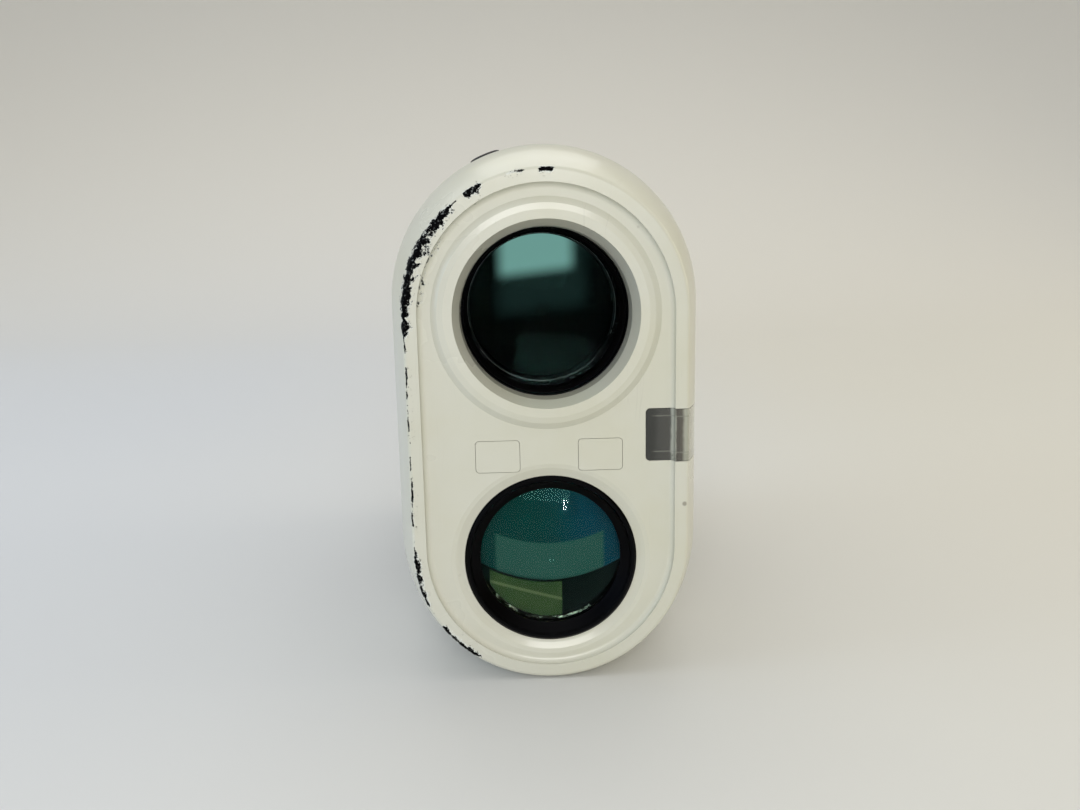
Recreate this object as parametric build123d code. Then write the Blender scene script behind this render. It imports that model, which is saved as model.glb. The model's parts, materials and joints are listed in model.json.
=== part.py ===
from build123d import *
import math
import os

os.makedirs("parts", exist_ok=True)

# A compact laser rangefinder standing upright. +Z up, the front face looks towards -Y, millimetres.
# The origin is the centre of the footprint, at the flat underside.

# ---- case: outside ----
FRONT_Y = -49.0                 # crest of the rim round the front face
BACK_Y = 49.0                   # end of the eyecup
RIM_RADIUS = 18.6               # end radius of the front rim's slot outline
CASE_RADIUS = 21.0              # end radius of the case's slot outline
REAR_RADIUS = 19.2              # end radius of the rear face's slot outline
OBJECTIVE_Z = 50.55             # height of the viewing axis
RECEIVER_Z = 17.0               # height of the receiver axis
RIM_LOW_Z = 19.0                # centres of the rim's end arcs
RIM_HIGH_Z = OBJECTIVE_Z
CASE_LOW_Z = 19.6               # centres of the case's end arcs
CASE_HIGH_Z = 52.05
RIM_WIDTH = 1.75                # from the rim's outline to the foot of the face
RIM_ROUND = 0.55
FACE_Y = FRONT_Y + 0.9          # flat front face, inside the rim
PLATE = 2.2                     # thickness of the front and rear plates
WALL = 2.0                      # thickness of the case walls
CASE_Y = (-39.2, 28.0)          # span of the two case halves
SEAM = 0.4                      # thickness of the front and rear gaskets
REAR_FACE_Y = 36.0
COVER_BACK_Y = CASE_Y[0] - SEAM
REAR_COVER_Y = CASE_Y[1] + SEAM
REAR_PLATE_Y = REAR_FACE_Y - PLATE
REAR_ROUND = 1.2

# ---- case: front features ----
BORE_WALL = 11.5                # bore of the front cover ahead of the objective barrel
OBJECTIVE_RADIUS = 12.35        # outside of the objective barrel
OBJECTIVE_CLEAR = 11.2          # bore of the barrel ahead of the lens
MOUTH_Y = -42.80                # mouth of the objective barrel, deep in the cover's bore
LENS_SEAT_Y = -36.2             # shoulder that the objective rests on
OBJECTIVE_LENS = 11.7           # edge radius of the objective's two glasses
RING_HEIGHT = 0.8               # raised ring round the objective
RING_INNER = 12.3
RING_FOOT = 15.15
RECEIVER_BORE = 11.85
RECEIVER_RADIUS = 11.8          # outside of the receiver ring
WINDOW_Z = 34.25                # middle of the status window
WINDOW_HALF = 3.6
WINDOW_X = 13.0                 # inner edge of the status window
SCREW_X = 6.9                   # front screws and their covers, either side of the middle
SCREW_Z = 31.75
SHANK = 0.8                     # radius of the screws' threads
THREAD_HOLE = 0.85

# ---- case: controls, grips and screws ----
BUTTON_ANGLE = 21.0             # power button, degrees left of the top of the shoulder
POWER_Y = -32.0
POWER_SIZE = (9.0, 4.6)         # length along Y and width
POWER_PROUD = 0.75
MODE_AT = (-30.0, 45.0)         # Y and Z of the mode button on the left side
MODE_RADIUS = 3.65
SLIDER_AT = (-30.0, 45.0)       # Y and Z of the slope slider on the right side
LANYARD_AT = (23.5, 16.5)       # Y and Z of the lanyard bar on the left side
LANYARD_X = -18.2
LANYARD_RADIUS = 0.88
GRIP_Y = (-22.0, 17.0)
GRIP_Z = (13.0, 60.0)
GRIP_CORNER = 5.0
GRIP_BED = 0.8                  # depth of the pocket the grips lie in
GRIP_PROUD = 0.4
POST_Y = (-15.0, -2.0, 11.0)    # cross screws that hold the halves together, under the grips
REAR_SCREWS = ((-16.0, 36.5), (16.0, 36.5), (-12.0, 63.8), (12.0, 63.8))

# ---- inside and back ----
BOARD_Z = 36.4                  # underside of the main board
BARREL_BACK_Y = -24.0           # back of the objective barrel
EYE_BARREL = 10.8               # outside of the eyepiece barrel
CELL_BORE = 9.4                 # bore of the eyepiece barrel
CELL_TRAVEL = 0.9               # eyepiece cell, either way
PIN_Y = 38.3                    # focus pin, at rest
PIN_RADIUS = 0.5
CUP_Y = 40.7                    # front of the eyecup and of its driving ring
CUP_RADIUS = 15.3
RUNNING = 0.05                  # radial clearance of the turning and sliding fits
PIVOT = (34.9, 4.4)             # battery door hinge: Y and Z of the pin
HINGE_PIN = 0.6
BATTERY_Z = 18.2
BATTERY_RADIUS = 7.75
FILTER_Y = -11.9                # laser filter, at the narrow end of the baffle
DETECTOR_Y = -7.4               # front of the detector board


# ---- shapes used by several pieces ----
def section(y, radius, low=CASE_LOW_Z, high=CASE_HIGH_Z):
    """Upright slot-shaped face across the case at y."""
    plane = Plane(origin=(0, y, (low + high) / 2), x_dir=(1, 0, 0), z_dir=(0, -1, 0))
    return plane * SlotCenterToCenter(high - low, 2 * radius, rotation=90)


def slot_prism(y_front, y_back, radius, low=CASE_LOW_Z, high=CASE_HIGH_Z):
    """Slot-shaped prism between two stations along Y."""
    return extrude(section(y_back, radius, low, high), amount=y_back - y_front)


def rod_y(y_front, y_back, radius, z, x=0.0):
    """Solid cylinder along Y."""
    return Pos(x, (y_front + y_back) / 2, z) * Rot(90, 0, 0) * Cylinder(radius, y_back - y_front)


def rod_x(x_low, x_high, radius, y, z):
    """Solid cylinder along X."""
    return Pos((x_low + x_high) / 2, y, z) * Rot(0, 90, 0) * Cylinder(radius, x_high - x_low)


def tube_y(y_front, y_back, outer, inner, z):
    """Round tube along Y."""
    return rod_y(y_front, y_back, outer, z) - rod_y(y_front - 1, y_back + 1, inner, z)


def block(x, y, z):
    """Box given by its three spans, each in either order."""
    spans = [(min(span), max(span)) for span in (x, y, z)]
    size = [high - low for low, high in spans]
    middle = [(high + low) / 2 for low, high in spans]
    return Pos(*middle) * Box(*size)


def turned(points, z):
    """Body turned about a Y axis at height z, from (radius, y) corners of half its section."""
    profile = make_face(Polyline(*points, close=True))
    return Pos(0, 0, z) * revolve(profile, axis=Axis.Y)


def sphere_drop(radius, sag, at):
    """Drop of a spherical cap at a distance from its axis, when it drops by sag at its edge radius."""
    ball = (radius ** 2 + sag ** 2) / (2 * abs(sag))
    return math.copysign(ball - math.sqrt(ball ** 2 - at ** 2), sag)


def lens(front, back, radius, sag_front, sag_back, z):
    """Round lens along Y between two apexes. A positive sag bulges outwards, a negative one is hollow."""
    half = radius / 2
    rim_front = front + sag_front
    rim_back = back - sag_back
    front_mid = (half, front + sphere_drop(radius, sag_front, half))
    front_edge = ThreePointArc((0, front), front_mid, (radius, rim_front))
    side = Line((radius, rim_front), (radius, rim_back))
    if sag_back:
        back_mid = (half, back - sphere_drop(radius, sag_back, half))
        back_edge = ThreePointArc((radius, rim_back), back_mid, (0, back))
    else:
        back_edge = Line((radius, rim_back), (0, back))
    axis_line = Line((0, back), (0, front))
    return Pos(0, 0, z) * revolve(make_face([front_edge, side, back_edge, axis_line]), axis=Axis.Y)


def rounded_plate(x, y, z, corner):
    """Flat plate across Y with its four corners rounded."""
    plate = block(x, y, z)
    return fillet(plate.edges().filter_by(Axis.Y), corner)


def screw_y(x, y_head, z, head, head_length, length, direction=1):
    """Socket screw along Y. Its head starts at y_head and its shank runs the way of direction."""
    def span(start, end):
        return min(start, end), max(start, end)
    top = span(y_head, y_head + direction * head_length)
    stem = span(y_head + direction * head_length, y_head + direction * (head_length + length))
    socket = span(y_head - direction * 0.1, y_head + direction * head_length * 0.6)
    plane = Plane(origin=(x, socket[1], z), x_dir=(1, 0, 0), z_dir=(0, -1, 0))
    body = rod_y(*top, head, z, x) + rod_y(*stem, SHANK, z, x)
    return body - extrude(plane * RegularPolygon(head * 0.5, 6), amount=socket[1] - socket[0])


def screw_x(x_head, y, z, head, head_length, length):
    """Socket screw along X, its head at the right and its shank running to the left."""
    body = rod_x(x_head - head_length, x_head, head, y, z)
    body += rod_x(x_head - head_length - length, x_head - head_length, SHANK, y, z)
    plane = Plane(origin=(x_head + 0.1, y, z), x_dir=(0, 1, 0), z_dir=(-1, 0, 0))
    return body - extrude(plane * RegularPolygon(head * 0.5, 6), amount=head_length * 0.6 + 0.1)


def solids(*shapes):
    """Group of separate solids in one node."""
    return Compound(children=[s if isinstance(s, Solid) else s.solids()[0] for s in shapes])


def save(name, shape):
    """Write one node."""
    export_step(shape, f"parts/{name}.step")


# ---- case: front cover ----
def flare_section(share, inset=0.0):
    """Section of the front cover, a share of the way back from the rim: it swells fast, then levels off."""
    swell = 1 - (1 - share) ** 2
    radius = RIM_RADIUS + (CASE_RADIUS - RIM_RADIUS) * swell - inset
    low = RIM_LOW_Z + (CASE_LOW_Z - RIM_LOW_Z) * swell
    high = RIM_HIGH_Z + (CASE_HIGH_Z - RIM_HIGH_Z) * swell
    return section(FRONT_Y + (COVER_BACK_Y - FRONT_Y) * share, radius, low, high)


def above_floor(shape):
    """Cut the flat underside."""
    return shape & block((-40, 40), (-80, 80), (0, 120))


def cover_blank():
    """Outside of the front cover: rim, cupped face and the flare back to the case."""
    flare = loft([flare_section(share) for share in (1.0, 0.75, 0.5, 0.25, 0.0)])
    crest = flare.faces().sort_by(Axis.Y)[0].edges()
    blank = fillet(crest, RIM_ROUND)
    blank -= slot_prism(FRONT_Y - 1, FACE_Y, RIM_RADIUS - RIM_WIDTH, RIM_LOW_Z, RIM_HIGH_Z)
    foot = blank.faces().filter_by(Axis.Y).sort_by(Axis.Y)[1].outer_wire().edges()
    return above_floor(fillet(foot, 0.7))


def cover_shell():
    """Front cover before its window is cut: plate, wall, ring, dish and bosses."""
    cavity = loft([flare_section(share, WALL) for share in (1.0, 0.8, 0.6, 0.34)])
    shell = cover_blank() - cavity
    behind = FACE_Y + PLATE - 0.4
    ring_top = FACE_Y - RING_HEIGHT
    shell += turned([
        (BORE_WALL, FACE_Y - 0.4), (RING_INNER, ring_top), (RING_INNER + 1.2, ring_top),
        (RING_INNER + 2.0, FACE_Y - RING_HEIGHT * 0.78), (RING_FOOT, FACE_Y), (RING_FOOT, FACE_Y + 0.6),
        (BORE_WALL, FACE_Y + 0.6),
    ], OBJECTIVE_Z)
    shell += tube_y(behind, -38.0, OBJECTIVE_RADIUS + 1.55, BORE_WALL, OBJECTIVE_Z)
    shell += tube_y(behind, -42.5, RECEIVER_BORE + 1.35, RECEIVER_BORE, RECEIVER_Z)
    for side in (-1, 1):
        shell += rod_y(behind, -43.5, 2.8, SCREW_Z, side * SCREW_X)
    shell -= turned([
        (0, FACE_Y - 2), (RING_INNER, FACE_Y - 2), (RING_INNER, ring_top), (BORE_WALL, FACE_Y + 1.8),
        (BORE_WALL, MOUTH_Y - RUNNING), (OBJECTIVE_RADIUS + 0.05, MOUTH_Y - RUNNING),
        (OBJECTIVE_RADIUS + 0.05, -37), (0, -37),
    ], OBJECTIVE_Z)
    shell -= turned([
        (0, FACE_Y - 2), (13.6, FACE_Y - 2), (13.6, FACE_Y), (13.0, FACE_Y + 0.12), (12.2, FACE_Y + 0.5),
        (RECEIVER_BORE, FACE_Y + 0.6), (RECEIVER_BORE, -41), (0, -41),
    ], RECEIVER_Z)
    for side in (-1, 1):
        shell -= screw_cover(side * SCREW_X, 0.0)
        shell -= rod_y(FACE_Y, FACE_Y + 2.2, 1.6, SCREW_Z, side * SCREW_X)
        shell -= rod_y(FACE_Y, -43, THREAD_HOLE, SCREW_Z, side * SCREW_X)
    return shell


def screw_cover(x, gap):
    """Flush rounded plug over a front screw, drawn in by gap all round."""
    half_x = 3.0 - gap
    half_z = 2.2 - gap
    return rounded_plate((x - half_x, x + half_x), (FACE_Y, FACE_Y + 0.8),
                         (SCREW_Z - half_z, SCREW_Z + half_z), 0.5 - gap)


def window_tool(gap):
    """Rounded block that cuts the status window out of the cover's right edge."""
    half = WINDOW_HALF - gap
    corner = 0.6 - gap
    tool = block((WINDOW_X + gap, 26), (FRONT_Y - 2, -42.0 - gap), (WINDOW_Z - half, WINDOW_Z + half))
    tool = fillet(tool.edges().filter_by(Axis.Y).sort_by(Axis.X)[:2], corner)
    return fillet(tool.edges().filter_by(Axis.X).sort_by(Axis.Y)[-2:], corner)


# ---- case: halves, rear cover, gaskets and grips ----
def grip_prism(gap, side):
    """Rounded block standing for the outline of a side grip, on one side of the case."""
    along = (GRIP_Y[0] + gap, GRIP_Y[1] - gap)
    upright = (GRIP_Z[0] + gap, GRIP_Z[1] - gap)
    blank = block((side * 9.0, side * 25.0), along, upright)
    return fillet(blank.edges().filter_by(Axis.X), GRIP_CORNER - gap)


def case_half(side):
    """One half of the case shell, with its ribs, posts, pockets and screw holes."""
    shell = slot_prism(*CASE_Y, CASE_RADIUS) - slot_prism(CASE_Y[0] - 1, CASE_Y[1] + 1, CASE_RADIUS - WALL)
    shell -= grip_prism(0.0, side) - slot_prism(-60, 60, CASE_RADIUS - GRIP_BED)
    inner = side * (CASE_RADIUS - 1.5)
    shell += block((inner, side * 5.0), (-34, -31), (SCREW_Z - 1.2, SCREW_Z + 1.2))
    shell += rod_y(-43.5, -31, 2.3, SCREW_Z, side * SCREW_X)
    for y in POST_Y:
        shell += rod_x(min(0, inner), max(0, inner), 2.0, y, SCREW_Z)
    for y in (-24.0, 14.0):
        shell += block((inner, side * 12.5), (y, y + 4), (BOARD_Z - 1.2, BOARD_Z))
    back = CASE_Y[1] - 8
    for x, z in REAR_SCREWS:
        if x * side > 0:
            shell += rod_y(back, CASE_Y[1], 2.2, z, x)
            rib = block((inner, x), (back, CASE_Y[1]), (z - 0.8, z + 0.8))
            shell += rib & slot_prism(*CASE_Y, CASE_RADIUS - 0.5)
            shell -= rod_y(CASE_Y[1] - 3, CASE_Y[1] + 1, THREAD_HOLE, z, x)
    shell = shell & block((0, side * 30), (-60, 60), (0, 90))
    shell -= rod_y(-44, -33, THREAD_HOLE, SCREW_Z, side * SCREW_X)
    for y in POST_Y:
        if side > 0:
            shell -= rod_x(CASE_RADIUS - 2.6, CASE_RADIUS + 1, 1.6, y, SCREW_Z)
            shell -= rod_x(-1, CASE_RADIUS, THREAD_HOLE, y, SCREW_Z)
        else:
            shell -= rod_x(-8, 1, THREAD_HOLE, y, SCREW_Z)
    return shell


def button_frame(depth_y):
    """Location on the left shoulder, its local Z pointing out of the case."""
    angle = math.radians(BUTTON_ANGLE)
    out = (-math.sin(angle), 0, math.cos(angle))
    centre = (CASE_RADIUS * out[0], depth_y, CASE_HIGH_Z + CASE_RADIUS * out[2])
    return Plane(origin=centre, x_dir=(0, 1, 0), z_dir=out)


def housing_left():
    """Left case half, with the power button's well, the mode button's hole and the lanyard recess."""
    half = case_half(-1)
    well = SlotOverall(POWER_SIZE[0] + 0.4, POWER_SIZE[1] + 0.4)
    half -= button_frame(POWER_Y) * extrude(well, amount=6, both=True)
    half -= rod_x(-24, -18, MODE_RADIUS + 0.1, *MODE_AT)
    y, z = LANYARD_AT
    half += block((-18.5, -15.0), (y - 4, y + 4), (z - 4.5, z + 4.5)) & slot_prism(*CASE_Y, CASE_RADIUS - 0.5)
    half -= block((-24, -16.2), (y - 3, y + 3), (z - 3.5, z + 3.5))
    half -= Pos(LANYARD_X, y, z) * Cylinder(LANYARD_RADIUS + 0.02, 8.4)
    return half


def housing_right():
    """Right case half, with the slope slider's recess and slot."""
    half = case_half(1)
    y, z = SLIDER_AT
    half -= block((CASE_RADIUS - 0.7, 24), (y - 5.4, y + 5.4), (z - 2.2, z + 2.2))
    half -= block((17, 24), (y - 3.5, y + 3.5), (z - 1.15, z + 1.15))
    return half


def rear_cover():
    """Rear cover: tapering shell, plate, eyepiece bore, battery opening and hinge lugs."""
    outside = loft([section(REAR_FACE_Y, REAR_RADIUS), section(REAR_COVER_Y, CASE_RADIUS)])
    outside = fillet(outside.faces().sort_by(Axis.Y)[-1].edges(), REAR_ROUND)
    cavity = slot_prism(REAR_COVER_Y - 1, REAR_PLATE_Y, REAR_RADIUS - WALL + 0.3)
    cover = above_floor(outside - cavity)
    cover -= rod_y(20, 50, EYE_BARREL + 0.05, OBJECTIVE_Z)
    cover -= rounded_plate((-12.3, 12.3), (32, 40), (6.2, 30.8), 3.0)
    cover -= block((-5.3, 5.3), (33, 40), (2.9, 8))
    cover -= rod_x(-9.5, 9.5, HINGE_PIN, *PIVOT)
    for x, z in REAR_SCREWS:
        cover += rod_y(REAR_COVER_Y, REAR_PLATE_Y + 0.5, 2.2, z, x)
        cover -= rod_y(REAR_FACE_Y - 1.1, 40, 1.5, z, x)
        cover -= rod_y(20, 40, THREAD_HOLE, z, x)
    return cover


def gasket(y_front, y_back):
    """Thin ring between two lengths of the case."""
    ring = slot_prism(y_front, y_back, CASE_RADIUS - 0.15)
    return above_floor(ring - slot_prism(y_front - 1, y_back + 1, CASE_RADIUS - 1.6))


def grip(side):
    """Ribbed soft panel let into one side of the case."""
    band = slot_prism(-60, 60, CASE_RADIUS + GRIP_PROUD)
    band -= slot_prism(-60, 60, CASE_RADIUS - GRIP_BED + 0.02)
    panel = band & grip_prism(0.1, side)
    for i in range(6):
        y = GRIP_Y[0] + 4.5 + 6 * i
        groove = block((side * 9, side * 25), (y - 0.5, y + 0.5), (18, 55))
        panel -= groove - slot_prism(-60, 60, CASE_RADIUS)
    return panel


# ---- viewing channel ----
def objective_barrel():
    """Black objective tube: open mouth, groove for its seal, shoulder for the lenses."""
    return turned([
        (OBJECTIVE_CLEAR, MOUTH_Y + 0.35), (OBJECTIVE_CLEAR + 0.15, MOUTH_Y), (OBJECTIVE_RADIUS, MOUTH_Y),
        (OBJECTIVE_RADIUS, -40.4), (11.85, -40.4), (11.85, -39.6), (OBJECTIVE_RADIUS, -39.6),
        (OBJECTIVE_RADIUS, BARREL_BACK_Y), (OBJECTIVE_LENS + 0.05, BARREL_BACK_Y),
        (OBJECTIVE_LENS + 0.05, LENS_SEAT_Y), (OBJECTIVE_CLEAR, LENS_SEAT_Y),
    ], OBJECTIVE_Z)


def objective_retainer():
    """Ring behind the objective, funnelled to a light stop."""
    outer = OBJECTIVE_LENS + 0.02
    return turned([(10.6, -30.4), (outer, -30.4), (outer, -24.2), (8.8, -24.2), (8.8, -25.0), (10.6, -26.4)],
                  OBJECTIVE_Z)


def eyepiece_barrel():
    """Fixed eyepiece tube behind the rear plate, with a slot for the focus pin."""
    barrel = tube_y(19.6, 44.2, EYE_BARREL, CELL_BORE, OBJECTIVE_Z)
    barrel += tube_y(32.0, REAR_PLATE_Y - 0.05, 12.8, 10.0, OBJECTIVE_Z)
    reach = CELL_TRAVEL + PIN_RADIUS + 0.2
    return barrel - block((-0.65, 0.65), (PIN_Y - reach, PIN_Y + reach), (OBJECTIVE_Z + 8, OBJECTIVE_Z + 12))


def diopter_ring():
    """Ribbed focus ring on the eyepiece barrel, with an inner groove for the focus pin."""
    ring = tube_y(36.2, 40.4, 14.4, EYE_BARREL + RUNNING, OBJECTIVE_Z)
    rib = Pos(14.35, PIN_Y, OBJECTIVE_Z) * Box(1.1, 3.4, 0.9)
    ribs = [Pos(0, 0, OBJECTIVE_Z) * Rot(0, 12 * i, 0) * Pos(0, 0, -OBJECTIVE_Z) * rib for i in range(30)]
    ring = ring + ribs
    return ring - tube_y(PIN_Y - 1.5, PIN_Y + 1.5, 11.9, 9.0, OBJECTIVE_Z)


def eyecup():
    """Soft twist-up eyecup: thick straight wall over its driving ring, rolled in at the eye."""
    return turned([
        (12.5, CUP_Y), (14.9, CUP_Y), (CUP_RADIUS, 41.3), (CUP_RADIUS, 47.7), (15.1, 48.5), (14.5, BACK_Y),
        (13.4, 48.9), (11.6, 47.6), (11.3, 47.0), (12.5, 47.0),
    ], OBJECTIVE_Z)


def prism_holder():
    """Channel that carries the two prisms: floor, side walls and a light trap at the front."""
    holder = block((-12.4, 12.4), (-23.4, 19), (38.5, 61)) - block((-11.2, 11.2), (-30, 30), (40, 70))
    trap = block((-11.8, 11.8), (-23.4, -22.2), (39, 61)) - rod_y(-30, 0, 8.2, OBJECTIVE_Z)
    return holder + trap


def glass_wedge(points, half_width):
    """Prism of glass: an outline in the YZ plane, pulled across X."""
    face = Plane.YZ * make_face(Polyline(*points, close=True))
    return extrude(face, amount=half_width, both=True)


def save_viewing_channel():
    """Objective, prisms, display, eyepiece, focus ring and eyecup."""
    save("objective_barrel", objective_barrel())
    save("objective_seal", Pos(0, -40.0, OBJECTIVE_Z) * Rot(90, 0, 0) * Torus(12.12, 0.26))
    save("objective_retainer", objective_retainer())
    crown_apex = LENS_SEAT_Y - 1.58
    save("objective_lens_crown", lens(crown_apex, -33.0, OBJECTIVE_LENS, 1.75, 1.2, OBJECTIVE_Z))
    save("objective_lens_flint", lens(-32.9, -30.5, OBJECTIVE_LENS, -1.2, 0.0, OBJECTIVE_Z))
    save("prism_holder", prism_holder())
    save("roof_prism", glass_wedge([(-19, 41), (2.0, 41), (2.0, 60), (-5, 60)], 9.5))
    save("half_penta_prism", glass_wedge([(2.6, 41), (18, 41), (18, 60), (12, 60), (2.6, 50)], 9.5))
    save("laser_mount", block((-12.4, 12.4), (3, 17), (61.05, 63.5)) - Pos(0, 9, 62) * Cylinder(2.9, 6))
    save("laser_diode", Pos(0, 9, 62.7) * Cylinder(2.8, 3.2) + Pos(0, 9, 65.0) * Cylinder(0.9, 1.6))
    save("display_module", rod_y(20.0, 21.2, 9.3, OBJECTIVE_Z))
    save("eyepiece_barrel", eyepiece_barrel())
    save("eyepiece_cell", tube_y(30.0, 41.5, CELL_BORE - RUNNING, 8.2, OBJECTIVE_Z))
    save("eyepiece_lens_front", lens(31.0, 34.0, 8.15, 0.6, 0.6, OBJECTIVE_Z))
    save("eyepiece_lens_rear", lens(36.6, 40.4, 8.15, 0.9, 1.0, OBJECTIVE_Z))
    save("diopter_pin", Pos(0, PIN_Y, OBJECTIVE_Z + 10.5) * Cylinder(PIN_RADIUS, 2.2))
    save("diopter_ring", diopter_ring())
    save("eyecup_ring", tube_y(CUP_Y, 46.5, 12.45, EYE_BARREL + RUNNING, OBJECTIVE_Z))
    save("eyecup", eyecup())


# ---- receiver channel ----
def save_receiver():
    """Receiver lens in its ring, funnel, filter, detector, detector board and shield."""
    save("receiver_ring", turned([
        (11.15, FACE_Y + 0.35), (11.5, FACE_Y + 0.3), (RECEIVER_RADIUS, FACE_Y + 0.55),
        (RECEIVER_RADIUS, -42.5), (10.35, -42.5), (10.35, -45.95), (9.75, -45.95), (9.75, -46.35),
        (10.9, -47.35),
    ], RECEIVER_Z))
    save("receiver_lens", lens(-47.2, -43.4, 10.3, 1.47, 0.0, RECEIVER_Z))
    save("receiver_baffle", turned([
        (10.2, -42.4), (12.0, -42.4), (12.0, -40.5), (5.2, -12), (5.2, -7.5), (4.4, -7.5), (4.4, -12),
        (3.2, -13), (10.2, -39),
    ], RECEIVER_Z))
    save("receiver_filter", rod_y(FILTER_Y, FILTER_Y + 1.0, 4.35, RECEIVER_Z))
    save("detector_diode", rod_y(FILTER_Y + 1.5, DETECTOR_Y - 0.2, 4.1, RECEIVER_Z))
    save("detector_board", block((-8, 8), (DETECTOR_Y, DETECTOR_Y + 1.0), (RECEIVER_Z - 8, RECEIVER_Z + 8)))
    shield = block((-7, 7), (DETECTOR_Y + 1.1, -1), (10, 24))
    save("detector_shield", shield - block((-6.6, 6.6), (DETECTOR_Y + 0.4, -1.4), (10.4, 23.6)))


# ---- battery bay ----
def battery_door():
    """Rear battery door with its hinge barrel, pressure boss and finger notch."""
    door = rounded_plate((-12, 12), (34.0, REAR_FACE_Y), (6.5, 30.5), 2.8)
    door += rod_y(33.2, 34.2, 6.5, BATTERY_Z)
    door += block((-5, 5), (34.0, 35.8), (PIVOT[1], 7.5))
    door += rod_x(-5, 5, 1.35, *PIVOT)
    door -= rod_x(-6, 6, HINGE_PIN + RUNNING, *PIVOT)
    door -= Pos(0, REAR_FACE_Y + 3.2, 28.0) * Rot(0, 90, 0) * Cylinder(4.0, 9)
    return door


def save_battery_bay():
    """Cell, sleeve, contacts, door, seal and hinge pin."""
    save("battery", rod_y(5.7, 32.0, BATTERY_RADIUS, BATTERY_Z) + rod_y(5.0, 5.8, 3.0, BATTERY_Z))
    sleeve = rod_y(2.6, 33.3, 9.0, BATTERY_Z)
    save("battery_sleeve", sleeve - rod_y(3.6, 34, BATTERY_RADIUS + 0.25, BATTERY_Z))
    save("battery_contact", rod_y(3.65, 4.1, 6.5, BATTERY_Z) + rod_y(4.0, 4.9, 1.6, BATTERY_Z))
    save("battery_door", battery_door())
    save("door_contact", rod_y(32.6, 33.2, 4.5, BATTERY_Z))
    save("door_seal", tube_y(33.45, 34.0, 10.8, 9.4, BATTERY_Z))
    save("door_hinge_pin", rod_x(-9.45, 9.45, HINGE_PIN, *PIVOT))


# ---- controls and electronics ----
def power_button():
    """Soft button in local coordinates: pad proud of the shoulder, and stem over its switch."""
    sunk = 2.4
    pad = Pos(0, 0, -sunk) * extrude(SlotOverall(*POWER_SIZE), amount=POWER_PROUD + sunk)
    pad = fillet(pad.faces().sort_by(Axis.Z)[-1].edges(), 0.4)
    return pad + Pos(0, 0, -2.9) * Cylinder(0.9, 1.2)


def mode_button():
    """Round button on the left side, with a flange behind the wall."""
    y, z = MODE_AT
    button = rod_x(-CASE_RADIUS - 0.4, -18.2, MODE_RADIUS, y, z)
    button = fillet(button.edges().sort_by(Axis.X)[0], 0.5)
    return button + rod_x(-18.6, -18.1, MODE_RADIUS + 0.95, y, z)


def slope_slider():
    """Slider on the right side: cap in the recess, stem through the slot, keeper inside."""
    y, z = SLIDER_AT
    slider = block((CASE_RADIUS - 0.6, CASE_RADIUS + 0.4), (y - 3.2, y + 3.2), (z - 2.0, z + 2.0))
    slider += block((18.4, CASE_RADIUS), (y - 1.4, y + 1.4), (z - 1.0, z + 1.0))
    return slider + block((17.6, 18.6), (y - 2.4, y + 2.4), (z - 2.2, z + 2.2))


def save_controls():
    """Buttons, slider, boards, switches and the lanyard bar."""
    frame = button_frame(POWER_Y)
    save("power_button", frame * power_button())
    save("button_board", frame * Pos(0, 0, -5.6) * Box(14, 7, 0.8))
    save("button_switches", solids(frame * Pos(0, 0, -4.65) * Cylinder(1.5, 1.1),
                                   rod_x(-17.2, -16.2, 1.5, *MODE_AT)))
    save("mode_button", mode_button())
    save("slope_slider", slope_slider())
    save("main_board", block((-13.2, 13.2), (-29, 25), (BOARD_Z, BOARD_Z + 1.0)))
    save("board_chips", solids(*[
        block((x - w / 2, x + w / 2), (y - w / 2, y + w / 2), (BOARD_Z - 1.1, BOARD_Z))
        for x, y, w in ((-6, -20, 5), (4, -19, 7), (0, -5, 8), (-8, 9, 4), (6, 11, 6))]))
    save("status_board", block((13.2, 15.6), (-43.4, -42.8), (31.2, 37.4)))
    save("lanyard_bar", Pos(LANYARD_X, *LANYARD_AT) * Cylinder(LANYARD_RADIUS, 8.3))


def save_case():
    """Covers, halves, window, plugs, gaskets, grips and screws."""
    shell = cover_shell()
    save("front_cover", shell - window_tool(0.0))
    save("status_window", shell & window_tool(0.06))
    for name, side in (("left", -1), ("right", 1)):
        save(f"screw_cover_{name}", screw_cover(side * SCREW_X, 0.06))
        save(f"grip_{name}", grip(side))
    save("front_gasket", gasket(COVER_BACK_Y, CASE_Y[0]))
    save("rear_gasket", gasket(CASE_Y[1], REAR_COVER_Y))
    save("housing_left", housing_left())
    save("housing_right", housing_right())
    save("rear_cover", rear_cover())
    save("front_screws", solids(*[
        screw_y(side * SCREW_X, FACE_Y + 0.85, SCREW_Z, 1.5, 1.2, 8.5) for side in (-1, 1)]))
    save("housing_screws", solids(*[
        screw_x(CASE_RADIUS - 0.9, y, SCREW_Z, 1.5, 1.6, 24.0) for y in POST_Y]))
    save("rear_screws", solids(*[
        screw_y(x, REAR_FACE_Y - 0.1, z, 1.4, 1.0, 6.5, -1) for x, z in REAR_SCREWS]))


save_case()
save_viewing_channel()
save_receiver()
save_battery_bay()
save_controls()
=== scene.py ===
import json
import math

import bmesh
import bpy
import numpy as np
from mathutils import Matrix, Vector


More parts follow.
